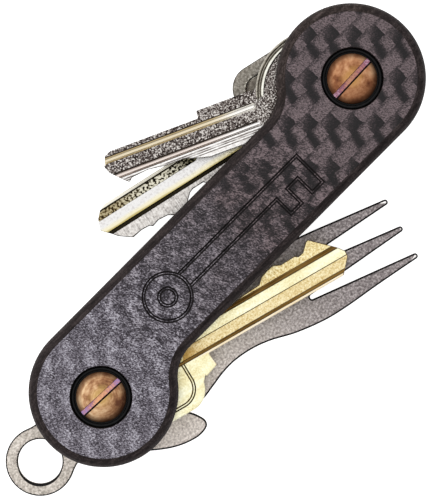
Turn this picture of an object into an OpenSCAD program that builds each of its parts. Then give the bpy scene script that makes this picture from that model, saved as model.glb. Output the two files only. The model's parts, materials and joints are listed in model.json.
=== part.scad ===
// Pocket key organiser: two S-shaped plates held apart by two slotted posts.
// Keys and tools stack on the posts, one to a level, and swing out between the plates.
// The part lies on its back plate: +X runs from the lower post to the upper post, +Z to the front.

/* [Plates] */
// Distance between the two posts
post_pitch = 68; // [66:0.5:72]
// Radius of the round end lobes
lobe_r = 12.6; // [12.3:0.1:13]
// How far the lower lobe's centre lies inboard of its post
lower_lobe_inset = 0.85; // [0.5:0.05:1]
// How far both lobes' centres lie off the line through the posts
lobe_shift = 0.2; // [0:0.05:0.3]
// Angle between the straight edges and the line through the posts
strip_angle = 6.6; // [5:0.2:8]
// Radius of the hollow where a straight edge meets a lobe
neck_r = 7.5; // [6:0.5:9]
// Thickness of each plate
plate_t = 3; // [2.8:0.1:3.4]
// Width of the bevel round each outer face
bevel_w = 1.5; // [1:0.1:1.6]
// Height of the bevel round each outer face
bevel_h = 1.3; // [1:0.1:1.5]
// Radius of the recess round each screw head
recess_r = 5.2; // [5.1:0.1:5.5]
// Depth of the recess round each screw head
recess_depth = 1.5; // [1.4:0.1:1.6]
// Depth of the engraved key sign
sign_depth = 0.25; // [0.1:0.05:0.4]

/* [Posts] */
// Outer radius of the barrels that keys turn on
barrel_r = 3.175; // [3:0.025:3.2]
// Outer radius of the barrel and screw heads
head_r = 4.25; // [4.1:0.05:4.35]
// Width of the screwdriver slots
slot_w = 1.1; // [0.9:0.1:1.3]
// Depth of the screwdriver slots
slot_depth = 0.7; // [0.5:0.1:0.9]
// Direction of the lower post's slots, from the line through the posts
lower_slot_angle = -9; // [-30:0.5:30]
// Direction of the upper post's slots
upper_slot_angle = -4.5; // [-30:0.5:30]
// Outer radius of spacers
spacer_r = 6.5; // [5:0.5:7]
// Outer radius of the thin washers
washer_r = 6; // [5:0.5:6.5]

/* [Stack] */
// Thickness of a key
key_t = 2; // [1.8:0.1:2.2]
// Thickness of the fork and of the ring tab
tool_t = 1.6; // [1.5:0.1:1.8]
// Gap that each thin washer fills
washer_gap = 0.3; // [0.25:0.05:0.4]

/* [Rest pose] */
// Direction of the front nickel key, from +X
front_key_angle = 148.7; // [140:0.1:155]
// Direction of the rear nickel key, from +X
rear_key_angle = 160.6; // [158:0.1:170]
// Direction of the brass key, from +X
brass_key_angle = -21.8; // [-40:0.1:-15]
// Direction of the fork, from +X
fork_angle = -22.5; // [-40:0.1:-15]
// Direction of the ring tab, from +X
ring_angle = 175; // [165:1:190]

/* [Ring tab] */
// Distance from the post to the ring's centre
ring_reach = 15.8; // [15.8:0.1:18]
// Radius of the ring's hole
ring_hole_r = 3.8; // [3:0.1:3.8]
// Radius of the ring's outside
ring_outer_r = 5.95; // [5.5:0.05:6.5]
// Radius of the hollow between the ring and the disc
ring_waist_r = 7.3; // [5:0.1:10]
// Radius of the tab's disc round the post
tab_disc_r = 8.6; // [7:0.1:9]

/* [Hidden] */
$fn = 64;
cut = 0.5;

// Colours of the real materials
carbon = [0.24, 0.22, 0.24];
nickel = [0.78, 0.77, 0.75];
brass = [0.88, 0.78, 0.48];
titanium = [0.50, 0.47, 0.46];
bronze = [0.62, 0.42, 0.26];
copper = [0.72, 0.45, 0.30];
black = [0.04, 0.04, 0.04];

// Where the posts and the lobes stand
lower_x = -post_pitch / 2;
upper_x = post_pitch / 2;
lower_lobe = [lower_x + lower_lobe_inset, lobe_shift];
upper_lobe = [upper_x, lobe_shift];

// Levels of the stack, counted from the back face
tab_z = plate_t + washer_gap;
fork_z = tab_z + tool_t + washer_gap;
rear_key_z = fork_z + tool_t + washer_gap;
brass_key_z = rear_key_z + key_t + washer_gap;
front_key_z = brass_key_z + key_t + washer_gap;
front_plate_z = front_key_z + key_t + washer_gap;
front_face_z = front_plate_z + plate_t;

// Fits: keys run on the barrels, and fixed pieces slip over them
run_gap = 0.075;
slip_gap = 0.1;
side_gap = 0.02;
key_hole_r = barrel_r + run_gap;
fixed_hole_r = barrel_r + slip_gap;

// Post parts
barrel_head_t = 1.3;
barrel_top_z = front_face_z - recess_depth - 0.2;
thread_r = 2;
thread_bore_r = 2.1;
thread_pitch = 0.8;
thread_count = 9;
screw_seat_t = 0.3;
screw_seat_z = front_face_z - recess_depth + screw_seat_t;
head_rim_t = 0.6;
head_dome_t = 0.8;

function turn(a) = [cos(a), sin(a)];
function arc(centre, r, from, to, steps, first = 0) =
    [for (i = [first:steps]) centre + r * turn(from + (to - from) * i / steps)];

// A smooth curve through points, as Catmull-Rom cubics with the given steps between points
function blend4(a, b, c, d, t) =
    0.5 * (2 * b + (c - a) * t + (2 * a - 5 * b + 4 * c - d) * t * t + (3 * b - a - 3 * c + d) * t * t * t);
function curve(p, steps) = concat(
    [for (i = [0:len(p) - 2], k = [0:steps - 1])
        blend4(p[max(i - 1, 0)], p[i], p[i + 1], p[min(i + 2, len(p) - 1)], k / steps)],
    [p[len(p) - 1]]);

// Outline of a plate, drawn in by inset all round. Its second half is its first half turned half a turn.
// The neck's arc leaves out its first point, which is the lobe's last.
strip_across = 90 - strip_angle;
strip_drop = norm(upper_lobe - lower_lobe) * sin(strip_angle) - lobe_r;
neck_along = sqrt(pow(lobe_r + neck_r, 2) - pow(neck_r - strip_drop, 2));
neck_centre = lower_lobe + neck_along * turn(-strip_angle) + (strip_drop - neck_r) * turn(strip_across);
neck_angle = atan2(neck_centre[1] - lower_lobe[1], neck_centre[0] - lower_lobe[0]);
function half_outline(inset) = concat(
    arc(lower_lobe, lobe_r - inset, strip_across, 360 + neck_angle, 34),
    arc(neck_centre, neck_r + inset, neck_angle + 180, strip_across, 7, 1));
function plate_outline(inset) =
    let (half = half_outline(inset))
    concat(half, [for (p = half) lower_lobe + upper_lobe - p]);

// Rings of a plate as [inset, height above the inner face]
plate_rings = [
    [0, 0], [0, plate_t - bevel_h], [0.3 * bevel_w, plate_t - 0.45 * bevel_h], [bevel_w, plate_t]
];

// Faces that close a ring whose points start at index first: a fan round each lobe's centre, which are
// the points hub and hub + 1, and a quad for the strip between them
function cap(first, half, hub) = concat(
    [for (side = [0, 1], i = [0:half - 1])
        let (start = first + side * half)
        [hub + side, start + i, start + (i + 1) % half]],
    [[first, first + half - 1, first + half, first + 2 * half - 1]]);

// A plate with its inner face on z = 0 and its outer face up
module plate_blank() {
    rings = [for (r = plate_rings) plate_outline(r[0])];
    count = len(rings[0]);
    last = len(rings) - 1;
    hub = (last + 1) * count;
    points = concat(
        [for (k = [0:last], p = rings[k]) [p[0], p[1], plate_rings[k][1]]],
        [for (z = [0, plate_t], lobe = [lower_lobe, upper_lobe]) [lobe[0], lobe[1], z]]);
    sides = [for (k = [0:last - 1], i = [0:count - 1])
        let (low = k * count, high = low + count, j = (i + 1) % count)
        [low + i, high + i, high + j, low + j]];
    top = [for (face = cap(last * count, count / 2, hub + 2)) [for (i = [len(face) - 1:-1:0]) face[i]]];
    polyhedron(points, concat(cap(0, count / 2, hub), sides, top), convexity = 6);
}

module at_posts() {
    for (x = [lower_x, upper_x]) translate([x, 0, 0]) children();
}

module drilled_plate() {
    difference() {
        plate_blank();
        at_posts() {
            translate([0, 0, -cut]) cylinder(r = fixed_hole_r, h = plate_t + 2 * cut);
            translate([0, 0, plate_t - recess_depth]) cylinder(r = recess_r, h = recess_depth + cut);
        }
    }
}

// The sign is a plain key drawn in thin grooves: a ring for the bow, a shaft and two teeth
groove_w = 0.7;
sign_bow_x = -14;
sign_bow_r = 4.4;
sign_eye_r = 1.8;
sign_shaft_w = 1.4;
sign_end_x = 18;
sign_tooth = [10.5, 13, 15.5, 18];
sign_tooth_drop = 3.4;

module groove(a, b) {
    d = b - a;
    translate([a[0], a[1], 0]) rotate(atan2(d[1], d[0]))
        translate([-groove_w / 2, -groove_w / 2, 0]) cube([norm(d) + groove_w, groove_w, sign_depth + cut]);
}

module ring_groove(r) {
    difference() {
        cylinder(r = r, h = sign_depth + cut);
        translate([0, 0, -cut]) cylinder(r = r - groove_w, h = sign_depth + 3 * cut);
    }
}

module key_sign() {
    shaft_x = sign_bow_x + sqrt(pow(sign_bow_r, 2) - pow(sign_shaft_w, 2));
    low = -sign_shaft_w;
    foot = low - sign_tooth_drop;
    path = [
        [shaft_x, low], [sign_tooth[0], low], [sign_tooth[0], foot], [sign_tooth[1], foot],
        [sign_tooth[1], low], [sign_tooth[2], low], [sign_tooth[2], foot], [sign_tooth[3], foot],
        [sign_end_x, sign_shaft_w], [shaft_x, sign_shaft_w]
    ];
    translate([sign_bow_x, 0, 0]) {
        ring_groove(sign_bow_r);
        ring_groove(sign_eye_r);
    }
    for (i = [0:len(path) - 2]) groove(path[i], path[i + 1]);
}

module front_plate() {
    color(carbon)
    difference() {
        translate([0, 0, front_plate_z]) drilled_plate();
        translate([0, 0, front_face_z - sign_depth]) rotate(-strip_angle) key_sign();
    }
}

// The back plate is the front plate's mirror image, so the two outlines lie one over the other
module back_plate() {
    color(carbon) translate([0, 0, plate_t]) mirror([0, 0, 1]) drilled_plate();
}

module slot_cut(angle, z) {
    rotate(angle) translate([-head_r - cut, -slot_w / 2, z])
        cube([2 * (head_r + cut), slot_w, slot_depth + cut]);
}

// Slotted screw with a low domed head and a ridged shank that goes down inside the barrel
module screw(x, slot) {
    shank_z = screw_seat_z - thread_count * thread_pitch - 1;
    dome_r = (head_r * head_r + head_dome_t * head_dome_t) / (2 * head_dome_t);
    dome_z = screw_seat_z + head_rim_t;
    shank = concat(
        [[0, shank_z], [thread_r - 0.3, shank_z]],
        [for (i = [0:thread_count - 1], s = [0, 1])
            [thread_r - (s == 0 ? 0.3 : 0), shank_z + (i + 0.3 + 0.5 * s) * thread_pitch]],
        [[thread_r - 0.3, screw_seat_z], [0, screw_seat_z]]);
    head = concat(
        [[0, screw_seat_z], [head_r - 0.15, screw_seat_z], [head_r, screw_seat_z + 0.15]],
        arc([0, dome_z + head_dome_t - dome_r], dome_r, asin((dome_r - head_dome_t) / dome_r), 90, 16));
    color(bronze) translate([x, 0, 0]) difference() {
        union() {
            rotate_extrude() polygon(shank);
            rotate_extrude() polygon(head);
        }
        slot_cut(slot, dome_z + head_dome_t - slot_depth);
    }
}

// Tube with a flat slotted head in the back plate and a blind hole for the screw
module barrel(x, slot) {
    head_z = recess_depth - barrel_head_t;
    bore_z = plate_t;
    color(bronze) translate([x, 0, 0]) difference() {
        union() {
            translate([0, 0, head_z]) cylinder(r = head_r, h = barrel_head_t);
            translate([0, 0, recess_depth - cut])
                cylinder(r = barrel_r, h = barrel_top_z - recess_depth + cut);
        }
        translate([0, 0, bore_z]) cylinder(r = thread_bore_r, h = barrel_top_z);
        slot_cut(slot, head_z - cut);
    }
}

// Black cup washer: a thin seat under the screw head and a raised rim round it
cup_rim_w = 0.65;
cup_rim_h = 0.9;
module head_washer(x) {
    outer = recess_r - 0.08;
    seat_z = front_face_z - recess_depth;
    color(black) translate([x, 0, 0]) rotate_extrude() polygon(concat(
        [[fixed_hole_r, seat_z], [outer, seat_z]],
        arc([outer - cup_rim_w / 2, seat_z + cup_rim_h - cup_rim_w / 2], cup_rim_w / 2, 0, 180, 8),
        [[outer - cup_rim_w, seat_z + screw_seat_t], [fixed_hole_r, seat_z + screw_seat_t]]));
}

module tube(x, z, r, h) {
    translate([x, 0, z]) difference() {
        cylinder(r = r, h = h);
        translate([0, 0, -cut]) cylinder(r = fixed_hole_r, h = h + 2 * cut);
    }
}

module spacer(x, from, to) {
    color(copper) tube(x, from, spacer_r, to - from);
}

// Thin washer under the piece whose underside is at z
module washer(x, z) {
    color(copper) tube(x, z - washer_gap + side_gap, washer_r, washer_gap - 2 * side_gap);
}

// Milled groove along a key's blade, from one x to another at a height y, cut into the face at z
module blade_groove(from, to, y, w, z, depth) {
    translate([from, y, z]) {
        cylinder(d = w, h = depth);
        translate([0, -w / 2, 0]) cube([to - from, w, depth]);
    }
}

// A key: its outline, its turning hole and a shallow sunk panel in each side of its bow
groove_depth = 0.55;
panel_depth = 0.2;
module key_blank(outline, panel) {
    difference() {
        linear_extrude(key_t) polygon(outline);
        translate([0, 0, -cut]) cylinder(r = key_hole_r, h = key_t + 2 * cut);
        for (z = [-cut, key_t - panel_depth]) translate([0, 0, z])
            difference() {
                linear_extrude(panel_depth + cut) polygon(panel);
                translate([0, 0, -cut]) cylinder(r = key_hole_r + 1.4, h = key_t + 2 * cut);
            }
    }
}

module place(x, angle, z) {
    translate([x, 0, z]) rotate(angle) children();
}

front_bow = [6, 0];
front_bow_r = 10.55;
front_neck = 3.95;
front_key_tip = 44.2;
module front_nickel_key() {
    edge = asin(front_neck / front_bow_r);
    outline = concat(
        arc(front_bow, front_bow_r, edge, 336, 40),
        [[16.2, -4.2], [26.4, -4.2], [26.5, -2.9], [42.4, -2.9], [43.5, -2.4], [front_key_tip, -0.7]],
        [[43.7, 0.5], [42.1, 2.2], [41.1, 3.1], [40.4, 2.5], [37.4, 2.2], [34.4, 2.6]],
        [[31.1, 2.6], [28.3, 3.5], [26.5, 3.95]]);
    panel = arc(front_bow, front_bow_r - 1.5, 0, 351, 39);
    color(nickel) place(upper_x, front_key_angle, front_key_z) difference() {
        key_blank(outline, panel);
        blade_groove(17.2, 46, -1.6, 1.1, key_t - groove_depth, groove_depth + cut);
        blade_groove(17.2, 46, 1.5, 0.9, key_t - groove_depth, groove_depth + cut);
        blade_groove(17.2, 46, 0, 1.3, -cut, groove_depth + cut);
    }
}

rear_key_tip = 49.5;
module rear_nickel_key() {
    outline = concat(
        arc([14.2, 7.5], 4, 0, 90, 8), arc([3.2, 2.5], 9, 90, 180, 14),
        arc([3.2, -2.5], 9, 180, 270, 14), arc([14.2, -7.5], 4, 270, 360, 8),
        [[18.2, -6.4], [19.6, -5.5], [24.5, -5.5], [24.6, -4.7], [46.4, -4.7], [47.7, -4.2], [48.8, -3.1]],
        [[rear_key_tip, -1.2], [48.2, 0.2], [47.4, 1.2], [45.4, 2.7], [43.5, 2.4], [42, 2.5], [41.5, 2.9]],
        [[40.2, 2.5], [38.4, 2.65], [37.1, 3.5], [35.1, 3.2], [33.1, 1.4], [32.4, 1.15], [30.3, 1.15]],
        [[28, 3.5], [24.6, 3.6], [24.5, 5.2], [19.6, 5.2], [18.2, 6.4]]);
    panel = concat(
        arc([13.8, 7.1], 2.4, 0, 90, 6), arc([3.2, 2.5], 7, 90, 180, 10),
        arc([3.2, -2.5], 7, 180, 270, 10), arc([13.8, -7.1], 2.4, 270, 360, 6));
    color(nickel) place(upper_x, rear_key_angle, rear_key_z) difference() {
        key_blank(outline, panel);
        blade_groove(29.6, 52, -3.3, 1.4, key_t - groove_depth, groove_depth + cut);
        blade_groove(22, 52, 0, 0.7, key_t - groove_depth, groove_depth + cut);
        blade_groove(22, 52, -1.4, 1.4, -cut, groove_depth + cut);
    }
}

brass_key_tip = 47.9;
module brass_key() {
    outline = concat(
        arc([12.3, 5.4], 3.8, 10, 90, 8), arc([2.5, 1.2], 8, 90, 180, 14),
        arc([2.5, -1.8], 8, 180, 270, 14), arc([12.3, -6], 3.8, 270, 350, 8),
        [[16.9, -6], [19.5, -5.1], [19.2, -2.75], [45.6, -2.75], [46.3, -2], [47.8, -0.3]],
        [[brass_key_tip, 0.7], [47, 1.9], [43.3, 5.5], [42.8, 5.3], [41.5, 4], [40.5, 3.8], [40, 4.2]],
        [[37.2, 4.1], [36.1, 4.7], [34.9, 4.45], [33.4, 4], [32.4, 3], [29, 2.8], [26.5, 2.3]],
        [[23, 5.45], [19.2, 5.45]],
        [[19.5, 6.3], [16.9, 6.3]]);
    panel = concat(
        arc([11.3, 4.8], 3.2, 0, 90, 6), arc([2.5, 1.2], 6.8, 90, 180, 10),
        arc([2.5, -1.8], 6.8, 180, 270, 10), arc([11.3, -5.2], 3.4, 270, 360, 6));
    color(brass) place(lower_x, brass_key_angle, brass_key_z) difference() {
        key_blank(outline, panel);
        blade_groove(17, 50, 2.15, 0.9, key_t - groove_depth, groove_depth + cut);
        blade_groove(11, 50, -2.05, 0.7, key_t - groove_depth, groove_depth + cut);
        blade_groove(17, 50, 0.7, 1.6, -cut, groove_depth + cut);
    }
}

// Flat tool: three long tines at one end, and a bottle opener's claw and mouth beside the post
fork_tip_x = 58;
tine_y = [-5.4, -0.15, 5.1];
tine_tip_r = 0.5;
tine_root_x = 39.3;
tine_root_y = [-2.9, 2.65];
tine_root_r = 0.4;
fork_disc_r = 10;
module fork_opener() {
    claw = [[-4, -9.2], [2.5, -12.4], [6.6, -13.9], [10.3, -14.25], [12.6, -13.55], [13.1, -12.35],
        [12.2, -10.7], [10.9, -9.3]];
    lower_side = [[10.9, -8.5], [12.4, -8.7], [14.5, -9], [17.2, -7.9], [19.8, -6.75], [22.6, -5.95],
        [26, -5.65], [29.5, -5.95], [34, -6.95], [39.3, -7.45], [44, -7.25], [50, -6.6],
        [fork_tip_x, tine_y[0] - tine_tip_r]];
    upper_side = [[fork_tip_x, tine_y[2] + tine_tip_r], [50, 6.4], [44, 7], [39.3, 7.2], [34, 6.7],
        [29.5, 5.7], [26, 5.4], [20, 5.8], [12, 8.2], [5.5, 9.6], [0, fork_disc_r]];
    outline = concat(
        curve(claw, 4), curve(lower_side, 3),
        arc([fork_tip_x, tine_y[0]], tine_tip_r, -60, 80, 5),
        arc([tine_root_x, tine_root_y[0]], tine_root_r, 280, 90, 5),
        arc([fork_tip_x, tine_y[1]], tine_tip_r, -80, 80, 5),
        arc([tine_root_x, tine_root_y[1]], tine_root_r, 270, 80, 5),
        arc([fork_tip_x, tine_y[2]], tine_tip_r, -80, 60, 5),
        curve(upper_side, 3),
        arc([0, 0], fork_disc_r, 96, 240, 18));
    color(titanium) place(lower_x, fork_angle, fork_z) difference() {
        linear_extrude(tool_t) polygon(outline);
        translate([0, 0, -cut]) cylinder(r = key_hole_r, h = tool_t + 2 * cut);
    }
}

// Flat loop for a key ring: a small ring and a disc round the post, with a hollow each side between them
module ring_tab() {
    a = tab_disc_r + ring_waist_r;
    b = ring_outer_r + ring_waist_r;
    lean = acos((ring_reach * ring_reach + a * a - b * b) / (2 * ring_reach * a));
    rise = 180 - acos((ring_reach * ring_reach + b * b - a * a) / (2 * ring_reach * b));
    upper_hollow = arc(a * turn(lean), ring_waist_r, 180 + rise, 180 + lean, 8, 1);
    outline = concat(
        arc([0, 0], tab_disc_r, lean, 360 - lean, 40),
        arc(a * turn(-lean), ring_waist_r, 180 - lean, 180 - rise, 8, 1),
        arc([ring_reach, 0], ring_outer_r, -rise, rise, 32, 1),
        [for (p = upper_hollow) if (norm(p) > tab_disc_r + 0.01) p]);
    color(titanium) place(lower_x, ring_angle, tab_z) difference() {
        linear_extrude(tool_t) polygon(outline);
        translate([0, 0, -cut]) cylinder(r = key_hole_r, h = tool_t + 2 * cut);
        translate([ring_reach, 0, -cut]) cylinder(r = ring_hole_r, h = tool_t + 2 * cut);
    }
}

front_plate();
back_plate();
screw(upper_x, upper_slot_angle);  // upper_screw
screw(lower_x, lower_slot_angle);  // lower_screw
barrel(upper_x, upper_slot_angle);  // upper_barrel
barrel(lower_x, lower_slot_angle);  // lower_barrel
head_washer(upper_x);  // upper_head_washer
head_washer(lower_x);  // lower_head_washer
spacer(upper_x, brass_key_z, brass_key_z + key_t);  // upper_spacer_1
spacer(upper_x, plate_t, rear_key_z - washer_gap);  // upper_spacer_2
spacer(lower_x, front_key_z, front_plate_z);  // lower_spacer_1
spacer(lower_x, rear_key_z, rear_key_z + key_t);  // lower_spacer_2
washer(upper_x, front_plate_z);  // upper_washer_1
washer(upper_x, front_key_z);  // upper_washer_2
washer(upper_x, brass_key_z);  // upper_washer_3
washer(upper_x, rear_key_z);  // upper_washer_4
washer(lower_x, front_key_z);  // lower_washer_1
washer(lower_x, brass_key_z);  // lower_washer_2
washer(lower_x, rear_key_z);  // lower_washer_3
washer(lower_x, fork_z);  // lower_washer_4
washer(lower_x, tab_z);  // lower_washer_5
front_nickel_key();
rear_nickel_key();
brass_key();
fork_opener();
ring_tab();
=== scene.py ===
import json
import math

import bmesh
import bpy
import numpy as np
from mathutils import Matrix, Vector
from mathutils.geometry import delaunay_2d_cdt


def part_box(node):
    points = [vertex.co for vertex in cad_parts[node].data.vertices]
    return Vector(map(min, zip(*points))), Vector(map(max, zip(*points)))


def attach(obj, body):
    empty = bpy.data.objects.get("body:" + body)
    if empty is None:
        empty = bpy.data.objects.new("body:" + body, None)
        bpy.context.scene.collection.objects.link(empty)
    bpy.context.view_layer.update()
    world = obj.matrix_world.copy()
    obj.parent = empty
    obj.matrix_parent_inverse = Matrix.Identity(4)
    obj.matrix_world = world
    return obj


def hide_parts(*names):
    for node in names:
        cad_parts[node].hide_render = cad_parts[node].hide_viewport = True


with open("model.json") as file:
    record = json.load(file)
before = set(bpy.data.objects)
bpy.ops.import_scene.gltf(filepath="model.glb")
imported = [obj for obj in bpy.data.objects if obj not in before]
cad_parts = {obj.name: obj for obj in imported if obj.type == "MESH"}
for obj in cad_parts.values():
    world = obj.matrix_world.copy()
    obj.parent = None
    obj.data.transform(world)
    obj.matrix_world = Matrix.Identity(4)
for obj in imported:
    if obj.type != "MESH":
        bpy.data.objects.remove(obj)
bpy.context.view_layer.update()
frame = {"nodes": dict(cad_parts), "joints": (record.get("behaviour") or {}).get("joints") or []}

MM = 0.001

# Places of the posts and levels of the stack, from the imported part, in millimetres
JOINTS = {j["child"]: j for j in frame["joints"]}


def level(node):
    """Lowest and highest z of a CAD node in millimetres."""
    low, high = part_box(node)
    return low.z / MM, high.z / MM


UPPER_X = JOINTS["front_nickel_key"]["pos_m"][0] / MM
LOWER_X = JOINTS["brass_key"]["pos_m"][0] / MM
BACK_LOW, BACK_HIGH = level("back_plate")
FRONT_LOW, FRONT_HIGH = level("front_plate")

# Directions of the swinging pieces at rest, in degrees from +X
FRONT_KEY_ANGLE = 148.7
REAR_KEY_ANGLE = 160.6
BRASS_KEY_ANGLE = -21.8
FORK_ANGLE = -22.5
RING_ANGLE = 175.0

# Plates, in millimetres
LOBE_R = 12.6
LOBE_INSET = 0.85
LOBE_SHIFT = 0.2
STRIP_ANGLE = 6.6
NECK_R = 7.5
PLATE_T = 3.0
BEVEL_W = 1.5
BEVEL_H = 1.3
RECESS_R = 5.2
RECESS_DEPTH = 1.5
SIGN_DEPTH = 0.25
SIGN_W = 0.7
POST_HOLE_R = 3.275
KEY_HOLE_R = 3.25
HEAD_R = 4.25
SLOT_ANGLES = {"lower": -9.0, "upper": -4.5}
SLOT_W = 1.1

# The fabric's tows lie along and across the straight edges. One row and one block of it start here.
TOW_W = 2.64
TOW_ROW, TOW_BLOCK = -3.88, -9.32


# -------------------- outlines

def turn(degrees):
    a = math.radians(degrees)
    return np.array([math.cos(a), math.sin(a)])


def arc(centre, r, start, end, steps):
    return [np.array(centre, float) + r * turn(start + (end - start) * i / steps) for i in range(steps + 1)]


def circle(centre, r, steps=72):
    return arc(centre, r, 0, 360, steps)[:-1]


def curve(points, steps):
    """A smooth curve through points, as Catmull-Rom cubics."""
    p = [np.array(q, float) for q in points]
    made = []
    for i in range(len(p) - 1):
        a, b, c, d = p[max(i - 1, 0)], p[i], p[i + 1], p[min(i + 2, len(p) - 1)]
        for k in range(steps):
            t = k / steps
            made.append(0.5 * (2 * b + (c - a) * t + (2 * a - 5 * b + 4 * c - d) * t * t
                               + (3 * b - a - 3 * c + d) * t ** 3))
    return made + [p[-1]]


def soften(outline, r, sharp=14):
    """Rounds each corner of a closed outline that turns by more than sharp degrees."""
    p = np.array(outline, float)
    made = []
    for i in range(len(p)):
        a, b, c = p[i - 1], p[i], p[(i + 1) % len(p)]
        u, v = a - b, c - b
        lu, lv = np.linalg.norm(u), np.linalg.norm(v)
        if min(lu, lv) < 1e-6:
            continue
        u, v = u / lu, v / lv
        bend = 180 - math.degrees(math.acos(max(-1, min(1, float(u @ v)))))
        if bend < sharp:
            made.append(b)
            continue
        reach = min(r * math.tan(math.radians(bend) / 2), 0.42 * lu, 0.42 * lv)
        start, end = b + u * reach, b + v * reach
        for t in (0, 0.25, 0.5, 0.75, 1):
            made.append((1 - t) ** 2 * start + 2 * t * (1 - t) * b + t * t * end)
    return made


def inset(loop, d):
    """A closed anticlockwise loop drawn in by d."""
    p = np.array(loop, float)
    e1 = p - np.roll(p, 1, 0)
    e2 = np.roll(p, -1, 0) - p
    e1 /= np.linalg.norm(e1, axis=1)[:, None] + 1e-12
    e2 /= np.linalg.norm(e2, axis=1)[:, None] + 1e-12
    n1 = np.stack([-e1[:, 1], e1[:, 0]], 1)
    n2 = np.stack([-e2[:, 1], e2[:, 0]], 1)
    m = n1 + n2
    m /= np.linalg.norm(m, axis=1)[:, None] + 1e-12
    share = np.clip((m * n1).sum(1), 0.45, 1)
    return list(p + m * (d / share)[:, None])


def distance(x, y, loop):
    """Distance of points from a closed line."""
    a = np.array(loop, float)
    b = np.roll(a, -1, 0)
    q = np.stack([x, y], 1)[:, None, :]
    ab = (b - a)[None]
    t = np.clip(((q - a[None]) * ab).sum(2) / ((ab ** 2).sum(2) + 1e-12), 0, 1)
    return np.sqrt((((a[None] + t[..., None] * ab) - q) ** 2).sum(2)).min(1)


def inside(x, y, loop):
    p = np.array(loop, float)
    q = np.roll(p, -1, 0)
    px, py, qx, qy = p[:, 0][None], p[:, 1][None], q[:, 0][None], q[:, 1][None]
    cross = (py > y[:, None]) != (qy > y[:, None])
    slope = (qx - px) / np.where(np.abs(qy - py) < 1e-12, 1e-12, qy - py)
    return (cross & (x[:, None] < px + (y[:, None] - py) * slope)).sum(1) % 2 == 1


# -------------------- relief solids

# Edges that turn by more than this many degrees are shaded sharp
SHARP_ANGLE = 38


def stadium(x0, x1, y, r):
    """Closed line at r round the segment from x0 to x1 at height y."""
    return arc((x1, y), r, -90, 90, 8) + arc((x0, y), r, 90, 270, 8)


class Groove:
    """A milled groove between x0 and x1: flat or round bottomed, as deep as depth."""

    def __init__(self, x0, x1, y, w, depth, wall=0.12, hollow=False):
        self.x0, self.x1, self.y, self.r = x0, x1, y, w / 2
        self.depth, self.wall, self.hollow = depth, wall, hollow

    def lines(self):
        if self.hollow:
            return [stadium(self.x0, self.x1, self.y, self.r * k) for k in (1, 0.86, 0.66, 0.42, 0.18)]
        return [stadium(self.x0, self.x1, self.y, self.r - k) for k in (0, self.wall)]

    def away(self, x, y):
        """Distance from the groove's middle line."""
        return np.hypot(x - np.clip(x, self.x0, self.x1), y - self.y)

    def drop(self, x, y):
        e = self.away(x, y)
        if self.hollow:
            return self.depth * np.clip(1 - (e / self.r) ** 2, 0, 1) ** 0.75
        return self.depth * np.clip((self.r - e) / self.wall, 0, 1)

    def holds(self, x, y, spare=0.0):
        return self.away(x, y) < self.r + spare


def rounded(d, r):
    """How far a rounded edge of radius r falls at distance d from the edge."""
    k = np.clip(r - d, 0, r)
    return r - np.sqrt(np.clip(r * r - k * k, 0, None))


def rim_distance(points, rims):
    return np.min([distance(points[:, 0], points[:, 1], rim) for rim in rims], 0)


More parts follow.
